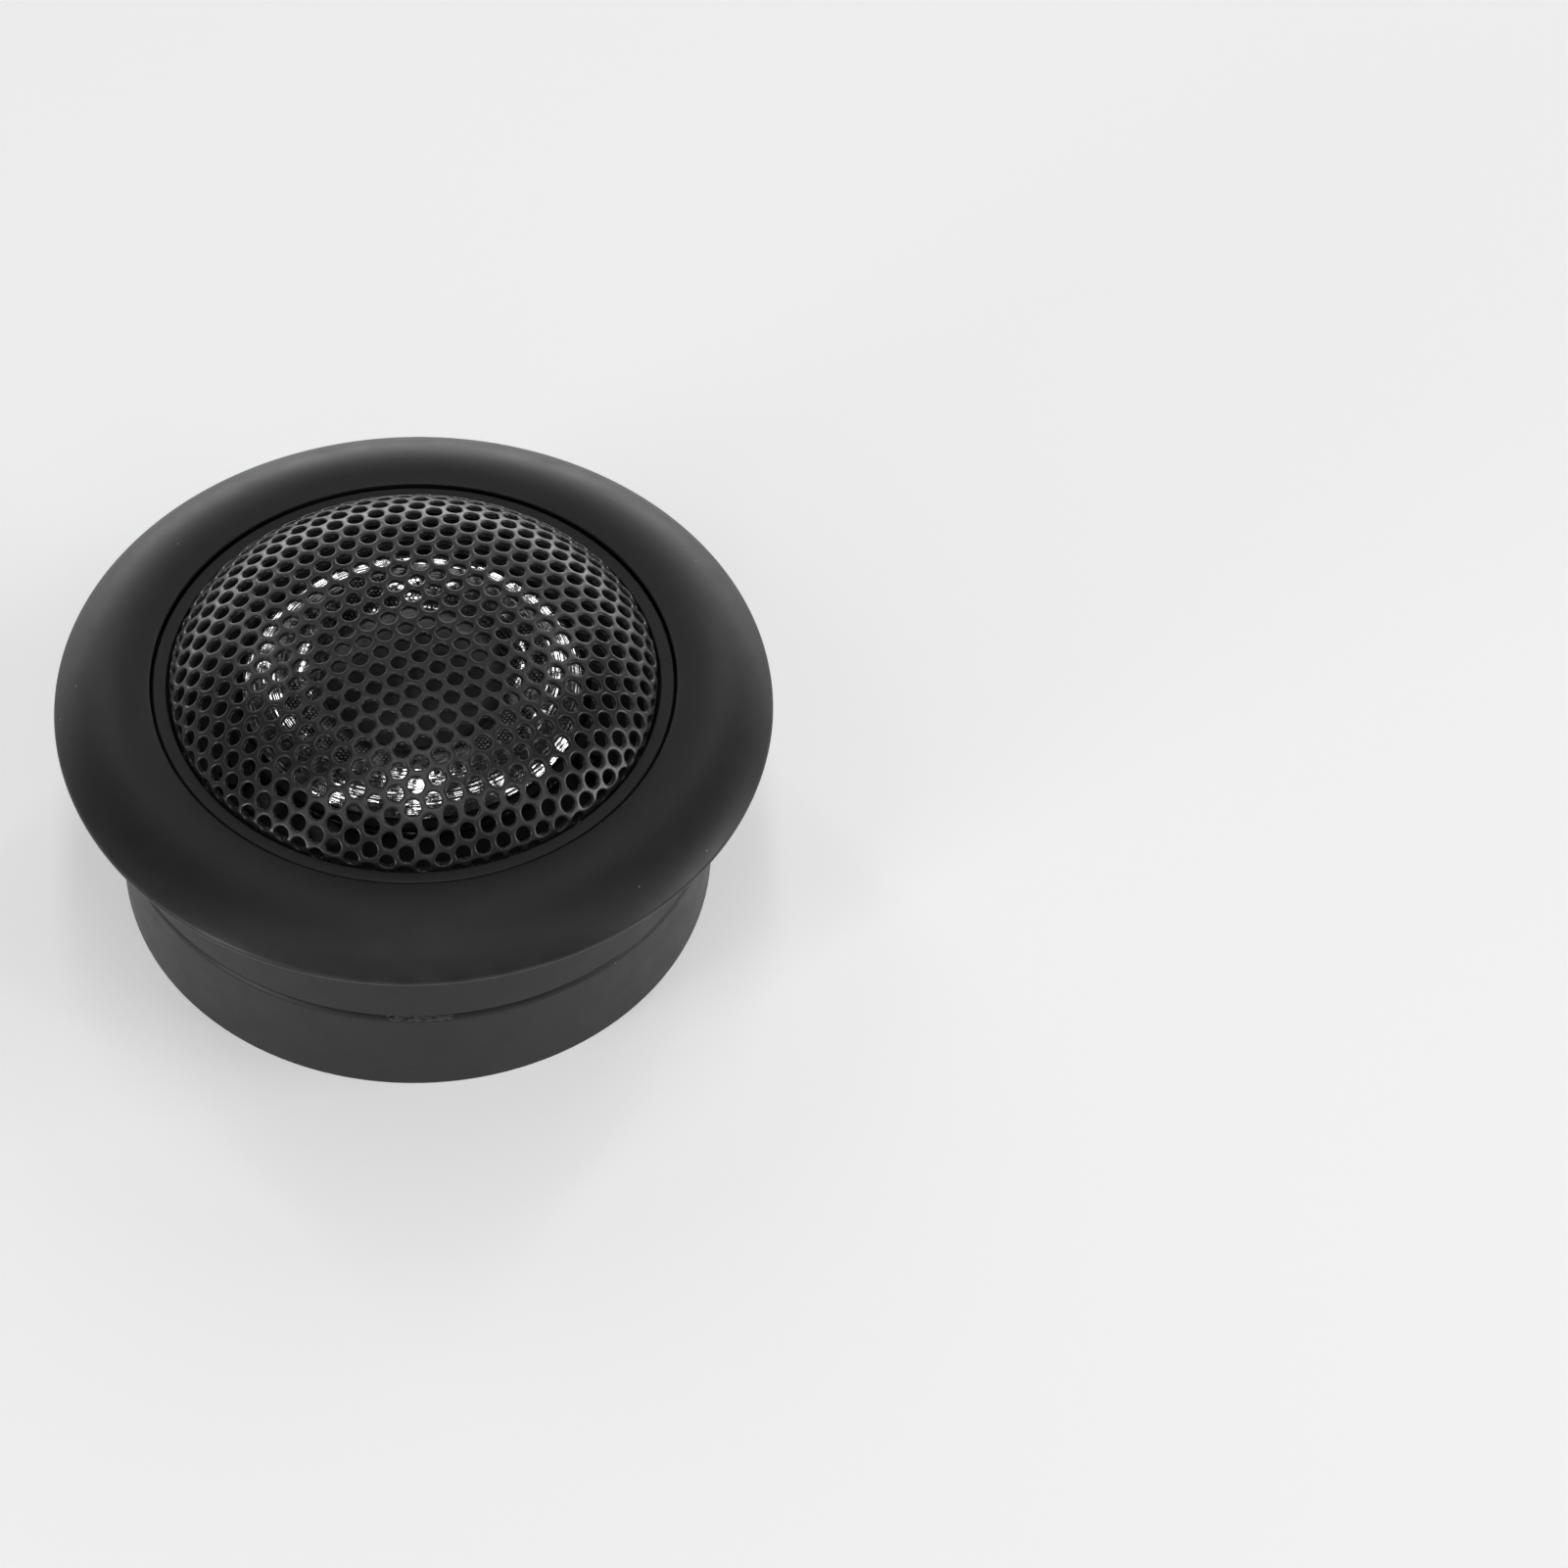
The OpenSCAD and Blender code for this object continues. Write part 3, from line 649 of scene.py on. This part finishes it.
def make_surround():
    """The film's roll falls from the dome's rim to the seat. Its outer slope is pressed with fine
    ribs that run round it."""
    start = Vector((dome_r + 0.05 * MM, dome_rim_z))
    end = Vector((surround_r, seat_z))
    chord = end - start
    down = Vector((chord.y, -chord.x)).normalized()
    roll_r = (chord.length_squared / 4 + surround_bulge ** 2) / (2 * surround_bulge)
    centre = (start + end) / 2 + down * (roll_r - surround_bulge)
    first = math.atan2(start.y - centre.y, start.x - centre.x)
    last = math.atan2(end.y - centre.y, end.x - centre.x)
    steps = 150
    rib_start = 2.4 * MM              # along the roll, from the dome's rim
    rib_rise = 1 * MM
    rib_fade_steps = 8
    top = []
    bottom = []
    for i in range(steps + 1):
        angle = first + (last - first) * i / steps
        run = abs(angle - first) * roll_r
        ribbed = min(1, max(0, (run - rib_start) / rib_rise)) * min(1, (steps - i) / rib_fade_steps)
        rib = rib_depth * ribbed * math.sin(2 * math.pi * run / rib_pitch)
        outward = Vector((math.cos(angle), math.sin(angle)))
        top.append(centre + outward * (roll_r + rib))
        bottom.append(centre + outward * (roll_r - film_t))
    rim_out = seat_r - 0.1 * MM
    flat_rim = line((surround_r + film_t, seat_z + film_t), (rim_out, seat_z + film_t),
                    (rim_out, seat_z), (surround_r - film_t, seat_z))
    section = [p for p in top if p.y > seat_z + film_t] + flat_rim
    section += [p for p in bottom[::-1] if p.y > seat_z and p.x >= start.x]
    return turned("surround_film", section)


surround = dress(make_surround(), "film", None, "surround")
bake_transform(surround)


def make_lug_cover(name, x, y):
    """A lumpy blob of black lacquer over the joint between a lug and the coil's lead."""
    blob = Vector((1.5, 1.25, 1.05)) * MM
    bottom = 0.02 * MM
    bm = bmesh.new()
    bmesh.ops.create_icosphere(bm, subdivisions=4, radius=1.0)
    for v in bm.verts:
        lump = 1 + 0.18 * noise.noise(v.co * 1.7 + Vector((x, y, 0)) / MM)
        point = v.co * lump * blob
        v.co = Vector((x + point.x, y + point.y, deck_z + max(bottom, point.z)))
    bmesh.ops.dissolve_degenerate(bm, edges=bm.edges, dist=1e-6)
    return new_piece(name, bm)


lug_low, lug_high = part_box("solder_lugs")
lug_r = 1.1 * MM
dress(make_lug_cover("lug_cover_front", lug_high.x - lug_r, lug_low.y + lug_r), "rubber", "pod")
dress(make_lug_cover("lug_cover_side", lug_low.x + lug_r, lug_high.y - lug_r), "rubber", "pod")


# ---- Gate mark on the base ----

def make_gate_mark():
    """The torn stub of the mould's gate on the base's top edge, at the front."""
    centre_r = base_top_r - base_edge_r
    centre_z = base_top_z - base_edge_r
    half_angle = 2.8 * MM / base_top_r
    middle = -math.pi / 2 - 0.01
    low_bend = 8                      # degrees round the base's rounded edge
    high_bend = 74
    stub_h = 0.17 * MM
    sunk = 0.05 * MM                  # smooth parts of the mark lie under the base's surface
    buried = 0.08 * MM
    across = 72
    upward = 14
    bm = bmesh.new()
    front = []
    back = []
    for i in range(across + 1):
        angle = middle + half_angle * (2 * i / across - 1)
        for k in range(upward + 1):
            bend = math.radians(low_bend + (high_bend - low_bend) * k / upward)
            fade = min(1, i / 8, (across - i) / 8, k / 4, (upward - k) / 4)
            place = Vector((i * 0.16, k * 0.24, 3.0))
            rough = 0.5 + 0.9 * noise.noise(place) + 0.5 * noise.noise(place * 3.1)
            height = stub_h * max(0, rough) * fade - sunk
            for surface, r in ((front, base_edge_r + height), (back, base_edge_r - buried)):
                out = centre_r + r * math.cos(bend)
                surface.append(bm.verts.new((out * math.cos(angle), out * math.sin(angle),
                                             centre_z + r * math.sin(bend))))
    wide = upward + 1
    for surface in (front, back):
        for i in range(across):
            for k in range(upward):
                a = i * wide + k
                bm.faces.new((surface[a], surface[a + 1], surface[a + wide + 1], surface[a + wide]))
    bmesh.ops.bridge_loops(bm, edges=[e for e in bm.edges if e.is_boundary])
    return new_piece("gate_mark", bm)


dress(make_gate_mark(), "black_abs", "base", look="torn")


# ---- Camera ----
view_elevation = math.radians(50.76)
view_distance = 0.5223
view_angle = 2 * math.radians(6.747)
picture_roll = math.radians(1.59)
left_of_middle = math.radians(3.157)       # where the object's origin stands in the picture
below_middle = math.radians(0.572)


def make_camera():
    camera = bpy.data.objects.new("camera", bpy.data.cameras.new("camera"))
    bpy.context.scene.collection.objects.link(camera)
    bpy.context.scene.camera = camera
    camera.data.angle = view_angle
    camera.data.clip_start = 0.01
    back = Vector((0, -math.cos(view_elevation), math.sin(view_elevation)))
    side = Vector((1, 0, 0))
    up = back.cross(side)
    right = side * math.cos(picture_roll) - up * math.sin(picture_roll)
    top = side * math.sin(picture_roll) + up * math.cos(picture_roll)
    aimed = Matrix((right, top, back)).transposed()
    to_origin = Vector((-math.tan(left_of_middle), -math.tan(below_middle), -1))
    aside = to_origin.rotation_difference(Vector((0, 0, -1))).to_matrix()
    camera.rotation_euler = (aimed @ aside).to_euler()
    camera.location = back * view_distance


make_camera()


# ---- Studio ----

def softbox(name, azimuth, elevation, distance, width, height, power):
    """An area light on a sphere round the object. Azimuth 0 is in front and 90 on the right."""
    light = bpy.data.lights.new(name, "AREA")
    light.shape = "RECTANGLE"
    light.size = width
    light.size_y = height
    light.energy = power
    lamp = bpy.data.objects.new(name, light)
    bpy.context.scene.collection.objects.link(lamp)
    a = math.radians(azimuth)
    e = math.radians(elevation)
    toward = Vector((math.sin(a) * math.cos(e), -math.cos(a) * math.cos(e), math.sin(e)))
    lamp.location = toward * distance + Vector((0, 0, ball_z))
    lamp.rotation_euler = toward.to_track_quat("Z", "Y").to_euler()
    lamp.visible_camera = False
    return lamp


# Azimuth, elevation, distance, width, height and power
softbox("overhead_strip", 0, 88, 0.9, 0.09, 1.0, 1.4)
softbox("cross_strip", 0, 60, 0.95, 1.2, 0.07, 1.0)
softbox("front_strip", 0, 38, 0.9, 0.07, 0.5, 0.35)
softbox("left_strip", -52, 40, 0.9, 0.07, 0.6, 0.6)
softbox("right_strip", 56, 40, 0.9, 0.07, 0.6, 0.6)
softbox("back_left_strip", -146, 40, 0.9, 0.06, 0.5, 0.55)
softbox("back_right_strip", 146, 40, 0.9, 0.06, 0.5, 0.7)
softbox("left_softbox", -54, 5, 0.8, 0.22, 0.12, 1.9)
softbox("right_softbox", 82, 12, 0.8, 0.4, 0.22, 2.3)


def make_floor():
    """A pale table top, lit a little from within as a light table is."""
    bm = bmesh.new()
    bmesh.ops.create_grid(bm, x_segments=40, y_segments=40, size=2.5)
    floor = new_piece("floor", bm)
    m = Nodes("pale_floor")
    cloud = m.noise(0.25, 3)
    pale = m.mixed(m.ranged(cloud, 0.3, 0.7, 0, 1), grey(0.8), grey(0.82))
    m.set(Base_Color=pale, Roughness=0.9, Emission_Color=(1, 1, 1), Emission_Strength=0.36)
    floor.data.materials.append(m.material)


make_floor()


def make_world():
    """Soft room light, brightest low at the back and dim overhead and in front."""
    world = bpy.data.worlds.new("studio")
    bpy.context.scene.world = world
    world.use_nodes = True
    tree = world.node_tree
    direction = tree.nodes.new("ShaderNodeTexCoord")
    parts = tree.nodes.new("ShaderNodeSeparateXYZ")
    tree.links.new(direction.outputs["Generated"], parts.inputs[0])

    def ranged(axis, numbers):
        made = tree.nodes.new("ShaderNodeMapRange")
        tree.links.new(parts.outputs[axis], made.inputs["Value"])
        for key, number in zip(("From Min", "From Max", "To Min", "To Max"), numbers):
            made.inputs[key].default_value = number
        return made

    low = ranged("Z", (0.06, 0.21, 1, 0.04))
    back = ranged("Y", (0.5, 1.0, 0.3, 9.0))
    both = tree.nodes.new("ShaderNodeMath")
    both.operation = "MULTIPLY"
    tree.links.new(low.outputs["Result"], both.inputs[0])
    tree.links.new(back.outputs["Result"], both.inputs[1])
    background = tree.nodes["Background"]
    background.inputs["Color"].default_value = (1, 1, 1, 1)
    tree.links.new(both.outputs[0], background.inputs["Strength"])


make_world()
bpy.context.scene.view_settings.view_transform = "Standard"
